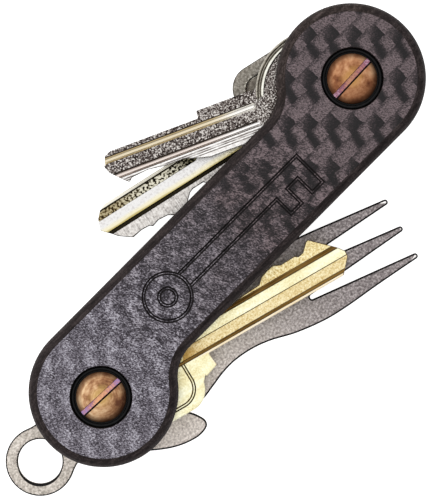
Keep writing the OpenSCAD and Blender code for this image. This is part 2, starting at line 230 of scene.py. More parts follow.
def relief(name, outline, holes, t, z, top, bottom, creases, edge, materials, paint, at=(0, 0), wall=0,
           every_rim=False):
    """A closed solid of thickness t above z, whose two faces are heights over one triangulation.

    It lies at an angle from a post. Paint gives the index of the material of each top face, from its
    place and its distance from the outline or, with every_rim, from the nearest hole too.
    """
    rims = [list(outline)] + [circle(h[:2], h[2]) for h in holes]
    steps = [edge * (1 - math.cos(math.radians(a))) for a in (22.5, 45, 67.5, 90)]
    loops = list(rims)
    for s in steps:
        loops.append(inset(outline, s))
        loops += [circle(h[:2], h[2] + s) for h in holes]
    points, edges = [], []
    for line, closed in [(q, True) for q in loops] + creases:
        first = len(points)
        points += [Vector((float(q[0]), float(q[1]))) for q in line]
        edges += [(first + i, first + i + 1) for i in range(len(line) - 1)]
        if closed:
            edges.append((len(points) - 1, first))
    flat, _, tris = delaunay_2d_cdt(points, edges, [], 0, 1e-4)[:3]
    co = np.array([(v[0], v[1]) for v in flat], float)
    tri = np.array(tris, int)
    mid = co[tri].mean(1)
    keep = inside(mid[:, 0], mid[:, 1], rims[0])
    for rim in rims[1:]:
        keep &= ~inside(mid[:, 0], mid[:, 1], rim)
    area = np.cross(co[tri[:, 1]] - co[tri[:, 0]], co[tri[:, 2]] - co[tri[:, 0]])
    tri = tri[keep & (np.abs(area) > 1e-9)]
    area = np.cross(co[tri[:, 1]] - co[tri[:, 0]], co[tri[:, 2]] - co[tri[:, 0]])
    tri[area < 0] = tri[area < 0][:, ::-1]
    used, tri = np.unique(tri, return_inverse=True)
    tri = tri.reshape(-1, 3)
    co = co[used]
    x, y = co[:, 0], co[:, 1]
    d, rim_d = rim_distance(co, rims[:1]), rim_distance(co, rims)
    rim_d[rim_d < 2e-4] = 0
    fall = rounded(rim_d, edge)
    high = t - top(x, y, d) - fall
    low = bottom(x, y, d) + fall
    n = len(co)
    c, s = turn(at[0])
    px, py = c * x - s * y + at[1], s * x + c * y
    verts = np.concatenate([np.stack([px, py, high + z], 1), np.stack([px, py, low + z], 1)]) * MM
    count = {}
    for a, b, e in tri:
        for q in ((a, b), (b, e), (e, a)):
            count[q] = count.get(q, 0) + 1
    walls = [(a, a + n, b + n, b) for (a, b) in count if (b, a) not in count]
    faces = [tuple(q) for q in tri] + [tuple(q[::-1] + n) for q in tri] + walls
    mesh = bpy.data.meshes.new(name)
    mesh.from_pydata([tuple(v) for v in verts], [], [tuple(int(i) for i in f) for f in faces])
    for m in materials:
        mesh.materials.append(m)
    mid = co[tri].mean(1)
    d = rim_distance(mid, rims if every_rim else rims[:1])
    index = np.concatenate([paint(mid[:, 0], mid[:, 1], d), np.zeros(len(tri)), np.full(len(walls), wall)])
    mesh.polygons.foreach_set("material_index", index.astype(np.int32))
    finish_mesh(mesh)
    return shown(name, mesh)


def finish_mesh(mesh):
    mesh.validate()
    mesh.polygons.foreach_set("use_smooth", [True] * len(mesh.polygons))
    mesh.set_sharp_from_angle(angle=math.radians(SHARP_ANGLE))
    mesh.update()


def linked(name, data):
    o = bpy.data.objects.new(name, data)
    bpy.context.scene.collection.objects.link(o)
    return o


def shown(name, mesh):
    o = linked(name, mesh)
    weighted = o.modifiers.new("weighted", "WEIGHTED_NORMAL")
    weighted.keep_sharp = True
    return o


def level_drop(x, y, d):
    return np.zeros_like(x)


def lathe(name, profile, x, material, steps=96):
    """A closed ring or disc turned from a closed profile of (radius, z) in millimetres, round a post."""
    p = np.array(profile, float)
    n = len(p)
    verts, faces = [], []
    for i in range(steps):
        c, s = turn(360 * i / steps)
        verts += [((x + r * c) * MM, r * s * MM, z * MM) for r, z in p]
    for i in range(steps):
        j = (i + 1) % steps
        for k in range(n):
            m = (k + 1) % n
            if p[k][0] < 1e-9 and p[m][0] < 1e-9:
                continue
            faces.append((i * n + k, j * n + k, j * n + m, i * n + m))
    mesh = bpy.data.meshes.new(name)
    mesh.from_pydata(verts, [], faces)
    mesh.materials.append(material)
    weld(mesh)
    finish_mesh(mesh)
    return shown(name, mesh)


def weld(mesh):
    bm = bmesh.new()
    bm.from_mesh(mesh)
    bmesh.ops.remove_doubles(bm, verts=bm.verts, dist=1e-7)
    bmesh.ops.dissolve_degenerate(bm, edges=bm.edges, dist=1e-8)
    bmesh.ops.recalc_face_normals(bm, faces=bm.faces)
    bm.to_mesh(mesh)
    bm.free()


# -------------------- materials

# Where nearly all of a noise texture's values lie
NOISE_SPAN = (0.3, 0.7)


def material(name, angle=0.0, post=0.0):
    """A new material, its shader, and coordinates in millimetres in the frame of a piece."""
    m = bpy.data.materials.new(name)
    m.use_nodes = True
    shader = m.node_tree.nodes["Principled BSDF"]
    return m, shader, place_mm(shader, angle, post)


def is_socket(value):
    return isinstance(value, bpy.types.NodeSocket)


def join(source, target):
    target.id_data.links.new(source, target)


def add(kind, values, out=0, **settings):
    """Makes a node in the tree that its linked inputs come from, and gives one of its outputs."""
    tree = next(v.id_data for v in values.values() if is_socket(v))
    node = tree.nodes.new(kind)
    for k, v in settings.items():
        setattr(node, k, v)
    for k, v in values.items():
        if is_socket(v):
            join(v, node.inputs[k])
        else:
            node.inputs[k].default_value = v
    return node.outputs[out]


def calc(operation, a, b=0.0):
    return add("ShaderNodeMath", {0: a, 1: b}, operation=operation)


def times(a, b):
    return calc("MULTIPLY", a, b)


def place_mm(node, angle=0.0, post=0.0):
    """Coordinates in millimetres, in the frame of a piece that lies at angle from a post."""
    coord = node.id_data.nodes.new("ShaderNodeTexCoord").outputs["Object"]
    c, s = turn(-angle)
    return add("ShaderNodeMapping", {
        0: coord, "Scale": (1 / MM,) * 3, "Rotation": (0, 0, math.radians(-angle)),
        "Location": (-c * post, -s * post, 0)})


def stretch(vector, scale):
    return add("ShaderNodeMapping", {0: vector, "Scale": scale})


def noise(vector, scale, detail=2.0, rough=0.5, distortion=0.0):
    return add("ShaderNodeTexNoise", {
        "Vector": vector, "Scale": scale, "Detail": detail, "Roughness": rough, "Distortion": distortion})


def cells(vector, scale):
    return add("ShaderNodeTexVoronoi", {"Vector": vector, "Scale": scale})


def spread(value, low, high, to_low=0.0, to_high=1.0):
    return add("ShaderNodeMapRange", {
        "Value": value, "From Min": low, "From Max": high, "To Min": to_low, "To Max": to_high})


def ramp(fac, stops):
    node = fac.id_data.nodes.new("ShaderNodeValToRGB")
    while len(node.color_ramp.elements) < len(stops):
        node.color_ramp.elements.new(0.5)
    for element, (pos, colour) in zip(node.color_ramp.elements, stops):
        element.position = pos
        element.color = (*colour, 1)
    join(fac, node.inputs[0])
    return node.outputs[0]


def mix(fac, a, b, blend="MIX"):
    """Colour a, and b where fac is 1. The node's colours are its inputs 6 and 7 and its output 2."""
    return add("ShaderNodeMix", {0: fac, 6: a, 7: b if is_socket(b) else (*b, 1)}, 2,
               data_type="RGBA", blend_type=blend)


def xyz(vector):
    node = vector.id_data.nodes.new("ShaderNodeSeparateXYZ")
    join(vector, node.inputs[0])
    return tuple(node.outputs)


def grade(value, low, high):
    """A noise's usual span drawn out from low to high."""
    return spread(value, *NOISE_SPAN, low, high)


def finish(shader, colour, rough, height, depth, metal=1.0, strength=0.7, specular=0.5):
    """Sets the shader, with a bump of the height as deep as depth, in millimetres."""
    join(colour, shader.inputs["Base Color"])
    join(rough, shader.inputs["Roughness"])
    shader.inputs["Metallic"].default_value = metal
    shader.inputs["Specular IOR Level"].default_value = specular
    join(add("ShaderNodeBump", {"Height": height, "Distance": depth * MM, "Strength": strength}),
         shader.inputs["Normal"])


def total(*parts):
    """The sum of values, each a (value, weight) pair or a plain value."""
    made = 0.0
    for part in parts:
        if isinstance(part, tuple):
            part = times(*part)
        made = calc("ADD", made, part)
    return made


def soft(value, low, high):
    """0 at low and 1 at high with a smooth step between."""
    return add("ShaderNodeMapRange", {"Value": value, "From Min": low, "From Max": high},
               interpolation_type="SMOOTHSTEP")


def near(value, at, half, blur):
    """1 where value is within half of at, falling to 0 over blur."""
    off = calc("ABSOLUTE", calc("SUBTRACT", value, at))
    return soft(off, half + blur, half)


def weave(cloth, here):
    """Dark of a two-by-two twill whose crowns are cut back in sanding: 1 where a tow dives, 0 on its lit
    back.
    """
    u, v, _ = xyz(cloth)
    u = total(u, (noise(here, 0.8, 2, 0.5), 0.7), -0.35)
    v = total(v, (noise(here, 0.9, 2, 0.5), 0.5), -0.25)
    row = calc("DIVIDE", calc("SUBTRACT", TOW_ROW, v), TOW_W)
    j = calc("FLOOR", row)
    t = calc("FRACT", row)
    step = calc("SUBTRACT", calc("DIVIDE", calc("SUBTRACT", u, TOW_BLOCK), TOW_W), j)
    across = calc("FLOORED_MODULO", calc("SUBTRACT", step, 1.0), 4.0)
    block = times(soft(total(t, (across, 0.6)), 0.0, 1.35),
                 calc("LESS_THAN", across, 1.0))
    smear = near(total(across, (t, 0.22)), 3.15, 0.05, 0.42)
    crown = times(near(t, 0.0, 0.02, 0.3), 0.3)
    return calc("MAXIMUM", calc("MAXIMUM", block, smear), crown)


def carbon(name):
    """Sanded carbon twill: blocks of fibre, short hairs across the plate and a coarse grain."""
    m, shader, here = material(name)
    cloth = place_mm(shader, -STRIP_ANGLE, UPPER_X)
    u, _, _ = xyz(cloth)
    dark = weave(cloth, here)
    hairs = noise(stretch(place_mm(shader, 20), (5.2, 2.0, 1.0)), 1.0, 2, 0.6)
    grain = noise(here, 4.4, 2, 0.6)
    cloud = noise(here, 0.17, 3, 0.6)
    patch = noise(stretch(place_mm(shader, 20), (1.15, 0.5, 1.0)), 1.0, 3, 0.65, 0.5)
    worn = times(near(u, -36.0, 16.0, 14.0), total(patch, (hairs, 0.55), -0.8))
    amount = spread(total(u, (cloud, 16.0), -8.0), -46.0, -17.0, -0.12, 0.36)
    tone = total((hairs, 0.9), (grain, 0.8), (patch, 0.12), (cloud, 0.1), -0.44, (worn, 0.8),
                 (times(dark, amount), -1.0), (amount, 0.36))
    blue = ramp(tone, [(0.34, (0.016, 0.012, 0.018)), (0.47, (0.098, 0.085, 0.108)),
                       (0.6, (0.25, 0.232, 0.27)), (0.78, (0.58, 0.56, 0.63))])
    calm = total(tone, (hairs, -0.25), (grain, -0.2), 0.235, (times(dark, amount), -0.12))
    brown = ramp(calm, [(0.31, (0.004, 0.002, 0.003)), (0.54, (0.04, 0.028, 0.031)),
                        (0.8, (0.22, 0.165, 0.175))])
    side = spread(total(u, (cloud, 24.0), -12.0), -58.0, -28.0)
    finish(shader, mix(side, blue, brown), spread(hairs, 0.3, 0.75, 0.36, 0.6), tone, 0.1, 0.0, 0.9, 0.3)
    return m


def carbon_cut(name):
    """Machined laminate on bevels and walls: near-black, with faint lighter plies, and painted light that
    makes it paler on the +v side away from the lower lobe.
    """
    m, shader, here = material(name)
    plies = noise(stretch(here, (0.25, 0.25, 7.0)), 1.0, 3, 0.6)
    blocks = noise(stretch(place_mm(shader, -STRIP_ANGLE), (0.28, 1.6, 1.6)), 1.0, 2, 0.6)
    grain = noise(here, 3.4, 2, 0.6)
    tone = total((plies, 0.3), (blocks, 0.35), (grain, 0.35))
    black = (0.36, (0.006, 0.004, 0.004))
    dark = ramp(tone, [black, (0.5, (0.022, 0.016, 0.016)), (0.62, (0.055, 0.042, 0.041))])
    pale = ramp(tone, [black, (0.5, (0.026, 0.018, 0.016)), (0.62, (0.082, 0.062, 0.058))])
    u, v, _ = xyz(place_mm(shader, -STRIP_ANGLE, UPPER_X))
    # Painted light: the bevel is paler on its +v side, away from the lower lobe, where light falls on it.
    lit_bevel_side = times(soft(v, 3.0, 8.0), soft(u, -62.0, -30.0))
    finish(shader, mix(lit_bevel_side, dark, pale), grade(plies, 0.5, 0.68), plies, 0.03, 0.0, 0.7, 0.11)
    return m


def bronze(name, post, turned, lean, tint):
    """Heat-coloured titanium: gold and copper clouds over turning marks, a painted highlight of gold in the
    middle, painted light that leans lighter to one side, and painted shade dark at the rim.
    """
    m, shader, here = material(name, 0, post)
    x, y, _ = xyz(here)
    r = calc("SQRT", total(times(x, x), times(y, y)))
    rings = noise(add("ShaderNodeCombineXYZ", {0: r, 1: total((x, 0.12)), 2: total((y, 0.12))}),
                  2.6, 3, 0.7)
    cloud = noise(here, 0.36, 2, 0.5, 0.4)
    fine = noise(here, 2.0, 3, 0.6)
    # Painted highlight: gold in the middle of the dome.
    middle = soft(total(r, (cloud, 2.4), -1.2), 2.3, 0.7)
    # lean tilts the tone across the head: painted light, lighter on one side and darker on the other.
    tone = total((cloud, 0.8), (rings, turned), (fine, 0.3), -0.05 - turned / 2, (x, lean[0]), (y, lean[1]))
    colour = ramp(tone, [
        (0.32, (0.13, 0.05, 0.028)), (0.45, (0.3, 0.145, 0.07)), (0.56, (0.5, 0.29, 0.155)),
        (0.7, (0.74, 0.52, 0.31))])
    colour = mix(times(middle, 0.5), colour, (0.62, 0.42, 0.14))
    colour = mix(1.0, colour, tint, "MULTIPLY")
    # Painted shade: near black towards the rim of the dome.
    colour = mix(times(soft(r, 3.0, 4.2), 0.85), colour, (0.035, 0.014, 0.007))
    finish(shader, colour, grade(fine, 0.3, 0.46), tone, 0.03)
    return m


def slot_purple(name, post, angle, colours):
    """The slot's floor: heat colours that run from its middle to its ends, with short milling marks."""
    m, shader, here = material(name, angle, post)
    x, _, _ = xyz(here)
    marks = noise(stretch(here, (2.6, 1.8, 1.0)), 1.0, 2, 0.6)
    tone = total((calc("ABSOLUTE", x), 0.13), (marks, 1.1), -0.33)
    colour = ramp(tone, list(zip((0.2, 0.45, 0.65, 0.9), colours)))
    finish(shader, colour, grade(marks, 0.36, 0.52), marks, 0.02, 0.85)
    return m


def dark_line(name, colour, rough=0.5, metal=0.6):
    """Painted shade: dark metal colour on cut edges, in creases and on the steep sides of grooves and
    slots.
    """
    m, shader, here = material(name)
    speck = noise(here, 2.6, 3, 0.65)
    low = tuple(c * 0.45 for c in colour)
    high = tuple(min(1.0, c * 1.7) for c in colour)
    finish(shader, ramp(speck, [(0.32, low), (0.55, colour), (0.78, high)]),
           grade(speck, rough - 0.1, rough + 0.12), speck, 0.02, metal, 0.5, 0.2)
    return m


def black_rubber(name):
    """Glossy black polymer with faint smears."""
    m, shader, here = material(name)
    smear = noise(here, 0.8, 3, 0.6)
    finish(shader, ramp(smear, [(0.3, (0.002, 0.002, 0.002)), (0.7, (0.007, 0.007, 0.008))]),
           grade(smear, 0.2, 0.36), noise(here, 5.0, 2), 0.006, 0.0, 0.5, 0.1)
    return m


def cast_nickel(name, angle, post, stops, scale=2.7):
    """Nickel over cast grain: bright crumbs between dark pits."""
    m, shader, here = material(name, angle, post)
    crumb = noise(here, scale, 1, 0.5)
    pit = cells(here, scale * 0.8)
    cloud = noise(here, 0.35, 2)
    tone = total((crumb, 1.15), (pit, 0.22), (cloud, 0.22), -0.29)
    colour = ramp(tone, list(zip((0.36, 0.48, 0.58, 0.7), stops)))
    finish(shader, colour, grade(crumb, 0.5, 0.3), tone, 0.05)
    return m


def milled(name, angle, post, colours, rough=0.25, ends=None, depth=0.03):
    """Milled metal with fine marks along the blade, its tint changing slowly from one end to the other."""
    m, shader, here = material(name, angle, post)
    x, _, _ = xyz(here)
    lines = noise(stretch(here, (0.14, 4.2, 4.2)), 1.0, 3, 0.65)
    cloud = noise(stretch(here, (0.12, 0.8, 0.8)), 1.0, 2)
    tone = total((lines, 0.6), (cloud, 0.4))
    colour = ramp(tone, [(0.36, colours[0]), (0.58, colours[1])])
    if ends:
        colour = mix(soft(total(x, (cloud, 5.0), -2.5), *ends), colour, colours[2])
    finish(shader, colour, grade(lines, rough * 1.3, rough * 0.8), lines, depth, 1.0, 0.6)
    return m


def flank(name, angle, post, colours, lines_y, across):
    """Ground flank of a blade: thin dark lines along it, and brush marks along or across it."""
    m, shader, here = material(name, angle, post)
    _, y, _ = xyz(here)
    brush = noise(stretch(here, (3.6, 0.4, 1.0) if across else (0.3, 4.0, 4.0)), 1.0, 3, 0.65)
    fine = noise(here, 2.6, 2, 0.6)
    tone = total((brush, 0.55), (fine, 0.45))
    colour = ramp(tone, list(zip((0.34, 0.5, 0.62), colours)))
    broken = noise(stretch(here, (0.3, 1.0, 1.0)), 1.0, 2)
    for at, half in lines_y:
        line = times(near(y, at, half, 0.07), spread(broken, 0.35, 0.5, 0.35, 0.95))
        colour = mix(line, colour, (0.1, 0.08, 0.07))
    finish(shader, colour, grade(fine, 0.4, 0.28), tone, 0.02, 1.0, 0.6)
    return m


def rear_face(name, angle, post):
    """Bright worn face of a blade that yellows towards its middle groove."""
    m, shader, here = material(name, angle, post)
    _, y, _ = xyz(here)
    fine = noise(here, 2.4, 2, 0.6)
    cloud = noise(stretch(here, (0.2, 0.7, 1.0)), 1.0, 2)
    plain = ramp(total((fine, 0.7), (cloud, 0.3)), [(0.36, (0.56, 0.54, 0.53)), (0.5, (0.68, 0.67, 0.66))])
    edge = total(y, (cloud, 0.5), -0.25)
    colour = mix(soft(edge, -1.5, -0.7), plain, (0.72, 0.67, 0.48))
    colour = mix(soft(edge, -0.7, -0.3), colour, (0.44, 0.36, 0.14))
    finish(shader, colour, grade(fine, 0.34, 0.22), fine, 0.02, 1.0, 0.5)
    return m


def rear_pits(name, angle, post):
    """Corroded floor of a groove: tan near the tip, then black pits with pale crumbs, then black."""
    m, shader, here = material(name, angle, post)
    x, _, _ = xyz(here)
    crumb = noise(here, 2.7, 1, 0.5)
    tone = total((crumb, 1.15), (cells(here, 2.2), 0.2), -0.12)
    tan = ramp(tone, [(0.38, (0.03, 0.02, 0.008)), (0.5, (0.17, 0.12, 0.05)), (0.64, (0.42, 0.36, 0.22))])
    pits = ramp(tone, [(0.44, (0.01, 0.008, 0.005)), (0.51, (0.12, 0.1, 0.05)), (0.6, (0.68, 0.65, 0.53))])
    black = ramp(tone, [(0.5, (0.006, 0.005, 0.003)), (0.64, (0.16, 0.14, 0.07))])
    colour = mix(soft(x, 39.0, 46.0), pits, tan)
    colour = mix(soft(x, 34.5, 29.5), colour, black)
    finish(shader, colour, grade(crumb, 0.55, 0.35), tone, 0.05)
    return m


def satin_brass(name, angle, post, colours, speck=0.5, rough=0.3, ends=None):
    """Pale brass: satin flats with faint pits and a golden cloud; with ends, a painted shadow that darkens
    it towards the post.
    """
    m, shader, here = material(name, angle, post)
    fine = noise(here, 3.4, 2, 0.6)
    cloud = noise(stretch(here, (0.2, 0.6, 1.0)), 1.0, 2, 0.5)
    pits = spread(cells(here, 0.8), 0.0, 0.13, 0.8, 0.0)
    tone = total((fine, speck), (cloud, 1 - speck))
    colour = ramp(tone, list(zip((0.34, 0.5, 0.66), colours)))
    colour = mix(pits, colour, (0.25, 0.17, 0.05))
    # With ends, painted shadow of the plate: dark brown from ends[0] towards the post.
    if ends:
        x, _, _ = xyz(here)
        colour = mix(soft(total(x, (cloud, 8.0), -4.0), *ends), colour, (0.36, 0.2, 0.035))
    finish(shader, colour, grade(fine, rough + 0.1, rough - 0.06), tone, 0.02, 1.0, 0.6)
    return m


def stonewashed(name, angle, post, colours, scale=2.6, pale=None):
    """Grey titanium tumbled matt: light and dark specks, a warm haze, scratches, paler where it is worn."""
    m, shader, here = material(name, angle, post)
    x, _, _ = xyz(here)
    fine = noise(here, scale, 2, 0.65)
    cloud = noise(here, 0.3, 3, 0.6)
    scratch = noise(stretch(place_mm(shader, angle + 31, post), (0.4, 6.0, 1)), 1.0, 3, 0.6)
    tone = total((fine, 0.72), (cloud, 0.2), (scratch, 0.08))
    colour = ramp(tone, list(zip((0.36, 0.5, 0.64), colours[:3])))
    if pale:
        worn = ramp(tone, list(zip((0.36, 0.5, 0.64), colours[3:])))
        colour = mix(soft(total(x, (cloud, 14.0), -7.0), *pale), worn, colour)
    finish(shader, colour, grade(fine, 0.56, 0.4), tone, 0.03, 0.75)
    return m


def copper(name):
    """Turned copper of the spacers and washers."""
    m, shader, here = material(name)
    rings = noise(stretch(here, (0.4, 0.4, 7.0)), 1.0, 3, 0.6)
    tone = total((rings, 0.4), (noise(here, 0.5, 3, 0.6), 0.6))
    colour = ramp(tone, [(0.34, (0.34, 0.15, 0.08)), (0.52, (0.62, 0.32, 0.19)), (0.7, (0.8, 0.5, 0.33))])
    finish(shader, colour, grade(rings, 0.3, 0.45), rings, 0.015)
    return m


# -------------------- plates

LOBES = [np.array([LOWER_X + LOBE_INSET, LOBE_SHIFT]), np.array([UPPER_X, LOBE_SHIFT])]


def plate_outline(drawn_in=0.0):
    across = 90 - STRIP_ANGLE
    span = np.linalg.norm(LOBES[1] - LOBES[0])
    drop = span * math.sin(math.radians(STRIP_ANGLE)) - LOBE_R
    along = math.sqrt((LOBE_R + NECK_R) ** 2 - (NECK_R - drop) ** 2)
    neck = LOBES[0] + along * turn(-STRIP_ANGLE) + (drop - NECK_R) * turn(across)
    angle = math.degrees(math.atan2(neck[1] - LOBES[0][1], neck[0] - LOBES[0][0]))
    half = arc(LOBES[0], LOBE_R - drawn_in, across, 360 + angle, 80)
    half += arc(neck, NECK_R + drawn_in, angle + 180, across, 16)[1:]
    return half + [LOBES[0] + LOBES[1] - p for p in half]


def sign_strokes():
    """The plain key sign: the straight strokes as pairs of points, and the two rings as (x, r)."""
    bow_x, bow_r, eye_r, half, end = -14.0, 4.4, 1.8, 1.4, 18.0
    teeth, foot = (10.5, 13.0, 15.5, 18.0), -1.4 - 3.4
    start = bow_x + math.sqrt(bow_r ** 2 - half ** 2)
    path = [(start, -half), (teeth[0], -half), (teeth[0], foot), (teeth[1], foot), (teeth[1], -half),
            (teeth[2], -half), (teeth[2], foot), (teeth[3], foot), (end, half), (start, half)]
    return list(zip(path[:-1], path[1:])), [(bow_x, bow_r - SIGN_W / 2), (bow_x, eye_r - SIGN_W / 2)]


def sign_lines(wall):
    """Creases of the sign's grooves, in the plate's own frame."""
    strokes, rings = sign_strokes()
    c, s = turn(-STRIP_ANGLE)
    made = []
    for a, b in strokes:
        a, b = np.array(a), np.array(b)
        u = (b - a) / np.linalg.norm(b - a)
        v = np.array([-u[1], u[0]])
        for w in (SIGN_W / 2, SIGN_W / 2 - wall):
            made.append([a - u * w - v * w, b + u * w - v * w, b + u * w + v * w, a - u * w + v * w])
    for x, r in rings:
        for w in (-SIGN_W / 2, wall - SIGN_W / 2, SIGN_W / 2 - wall, SIGN_W / 2):
            made.append(circle((x, 0), r + w, 48))
    return [([np.array([c * p[0] - s * p[1], s * p[0] + c * p[1]]) for p in line], True) for line in made]


def sign_drop(x, y, wall):
    strokes, rings = sign_strokes()
    c, s = turn(STRIP_ANGLE)
    u, v = c * x - s * y, s * x + c * y
    inner = np.full(len(x), -1.0)
    for a, b in strokes:
        length = math.hypot(b[0] - a[0], b[1] - a[1])
        dx, dy = (b[0] - a[0]) / length, (b[1] - a[1]) / length
        along = (u - a[0]) * dx + (v - a[1]) * dy
        side = np.abs(-(u - a[0]) * dy + (v - a[1]) * dx)
        w = SIGN_W / 2
        inner = np.maximum(inner, np.minimum(w - side, np.minimum(along + w, length + w - along)))
    for cx, r in rings:
        inner = np.maximum(inner, SIGN_W / 2 - np.abs(np.hypot(u - cx, v) - r))
    return SIGN_DEPTH * np.clip(inner / wall, 0, 1)


def plate(name, z, front, materials):
    wall = 0.28
    outline = plate_outline()
    lip = 0.12

    def top(x, y, d):
        steep = BEVEL_H * 0.45 + (BEVEL_H * 0.55) * np.clip(1 - d / (0.3 * BEVEL_W), 0, 1)
        slope = BEVEL_H * 0.45 * np.clip((BEVEL_W - d) / (0.7 * BEVEL_W), 0, 1)
        drop = np.where(d < 0.3 * BEVEL_W, steep, slope)
        for px in (LOWER_X, UPPER_X):
            r = np.hypot(x - px, y)
            drop = np.maximum(drop, np.clip((RECESS_R + 0.03 - r) / 0.06, 0, 1) * RECESS_DEPTH)
            past = r - RECESS_R - 0.03
            drop = np.maximum(drop, np.where(past < lip, rounded(past, lip), 0))
        if front:
            drop = np.maximum(drop, sign_drop(x, y, wall))
        return drop

    def paint(x, y, d):
        index = np.where(d < BEVEL_W - 0.02, 1, 0)
        for px in (LOWER_X, UPPER_X):
            index[np.hypot(x - px, y) < RECESS_R + 0.08] = 1
        if front:
            drop = sign_drop(x, y, wall)
            # Painted shade on the sloping walls of the sign's grooves.
            index[(drop > 0.01) & (drop < SIGN_DEPTH * 0.98)] = 2
        return index

    creases = [(plate_outline(k), True) for k in (0.225, 0.45, 0.97, BEVEL_W)]
    for px in (LOWER_X, UPPER_X):
        for r in (RECESS_R - 0.03, RECESS_R + 0.03, RECESS_R + 0.05, RECESS_R + 0.09, RECESS_R + 0.15):
            creases.append((circle((px, 0), r, 96), True))
    if front:
        creases += sign_lines(wall)
    holes = [(LOWER_X, 0, POST_HOLE_R), (UPPER_X, 0, POST_HOLE_R)]
    return relief(name, outline, holes, PLATE_T, z, top, level_drop, creases, 0.08, materials, paint,
                  wall=1)


def flip(o, z):
    """Turns a piece over about the height z, in millimetres."""
    o.data.transform(Matrix.Translation((0, 0, 2 * z * MM)) @ Matrix.Diagonal((1, 1, -1, 1)))
    o.data.flip_normals()


def build_plates():
    mats = [carbon("carbon_face"), carbon_cut("carbon_cut"),
            dark_line("carbon_groove_shade", (0.006, 0.004, 0.004), 0.6, 0.0)]
    front = plate("front_plate_carbon", FRONT_LOW, True, mats)
    back = plate("back_plate_carbon", BACK_LOW, False, mats)
    flip(back, (BACK_LOW + BACK_HIGH) / 2)
    for o, node in ((front, "front_plate"), (back, "back_plate")):
        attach(o, "frame")
        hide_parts(node)


# -------------------- posts

SLOT_COLOURS = {
    "lower": ((0.74, 0.38, 0.2), (0.6, 0.29, 0.23), (0.38, 0.2, 0.32), (0.38, 0.27, 0.56)),
    "upper": ((0.46, 0.22, 0.14), (0.36, 0.15, 0.15), (0.24, 0.1, 0.15), (0.62, 0.4, 0.5)),
}
# How strong the turning marks are, which way the colour leans as painted light, and its tint
HEAT_AND_LIGHT = {"lower": (0.5, (-0.012, 0.03), (1.0, 1.0, 1.0)),
        "upper": (0.16, (0.028, 0.018), (0.84, 0.7, 0.66))}


def screw_head(which, x):
    """Domed slotted head over a ridged shank."""
    low, high = level(which + "_screw")
    seat = high - 1.4
    rim, dome, depth = 0.6, 0.8, 0.7
    wide, thin = 0.3, 0.08
    ball = (HEAD_R ** 2 + dome ** 2) / (2 * dome)
    c, s = turn(SLOT_ANGLES[which])

    def side(px, py):
        return -s * px + c * py

    def top(px, py, d):
        r = np.hypot(px, py)
        fall = ball - np.sqrt(ball ** 2 - np.clip(r, 0, HEAD_R) ** 2)
        v = side(px, py)
        slot = depth * np.clip(np.minimum((SLOT_W / 2 - v) / thin, (SLOT_W / 2 + v) / wide), 0, 1)
        return np.maximum(fall, slot)

    def paint(px, py, d):
        v = side(px, py)
        index = np.where((v > wide - SLOT_W / 2) & (v < SLOT_W / 2 - thin), 1, 0)
        # Painted shade on the slot's walls: wide and black on its -y side, thin and dark brown on its +y
        # side.
        index[(v > -SLOT_W / 2) & (v < wide - SLOT_W / 2)] = 2
        index[(v > SLOT_W / 2 - thin) & (v < SLOT_W / 2)] = 3
        return index

    creases = [(circle((0, 0), r, 72), True) for r in (0.6, 1.2, 1.8, 2.4, 3.0, 3.5, 3.9)]
    for w in (-SLOT_W / 2, wide - SLOT_W / 2, SLOT_W / 2 - thin, SLOT_W / 2):
        creases.append(([np.array([k * c - w * s, k * s + w * c]) for k in (-5, 5)], False))
    mats = [bronze(which + "_bronze", x, *HEAT_AND_LIGHT[which]),
            slot_purple(which + "_slot", x, SLOT_ANGLES[which], SLOT_COLOURS[which]),
            dark_line(which + "_slot_wall_shade", (0.004, 0.002, 0.002)),
            dark_line(which + "_slot_side_shade", (0.16, 0.07, 0.06))]
    head = relief(which + "_screw_head", circle((0, 0), HEAD_R, 120), [], rim + dome, seat, top, level_drop,
                  creases, 0.08, mats, paint, (0, x))
    shank = [(0, low), (1.7, low)]
    for i in range(9):
        shank += [(1.7, low + (i + 0.3) * 0.8), (2.0, low + (i + 0.8) * 0.8)]
    shank += [(1.7, seat - 0.02), (0, seat - 0.02)]
    body = lathe(which + "_screw_shank", shank, x, mats[0], 64)
    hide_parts(which + "_screw")
    for o in (head, body):
        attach(o, "frame")
    return mats[0]


def cup_washer(which, x):
    """Glossy black washer under a screw head, with a round raised rim."""
    low, high = level(which + "_head_washer")
    outer = RECESS_R - 0.08
    rim_w = 0.65
    profile = [(POST_HOLE_R, low), (outer, low)]
    profile += [tuple(p) for p in arc((outer - rim_w / 2, high - rim_w / 2), rim_w / 2, 0, 180, 12)]
    profile += [(outer - rim_w, low + 0.3), (POST_HOLE_R, low + 0.3)]
    o = lathe(which + "_cup_washer", profile, x, black_rubber(which + "_black"))
    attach(o, "frame")
    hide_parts(which + "_head_washer")


def dress(o, m):
    o.data.materials.clear()
    o.data.materials.append(m)


def build_posts():
    for which, x in (("lower", LOWER_X), ("upper", UPPER_X)):
        metal = screw_head(which, x)
        cup_washer(which, x)
        dress(frame["nodes"][which + "_barrel"], metal)
    red = copper("copper")
    for name, o in frame["nodes"].items():
        if "_spacer_" in name or "_washer_" in name:
            dress(o, red)


# -------------------- keys and tools

# The full-height disc of a bow round its hole
BOSS_R = 4.7


def swinging(node, slot, outline, top, bottom, creases, edge, materials, paint, at, holes=(), **settings):
    """Builds a piece that turns on a post. Its body and its CAD node share one name."""
    low, high = level(node)
    o = relief(node + "_shape", outline, [(0, 0, KEY_HOLE_R), *holes], high - low, low, top, bottom,
               creases, edge, materials, paint, at, **settings)
    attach(o, node)
    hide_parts(node)


def row(x0, x1, y):
    """A straight crease along a blade."""
    return [np.array([x0, y]), np.array([x1, y])], False


def groove_lines(grooves):
    return [(q, True) for g in grooves for q in g.lines()]


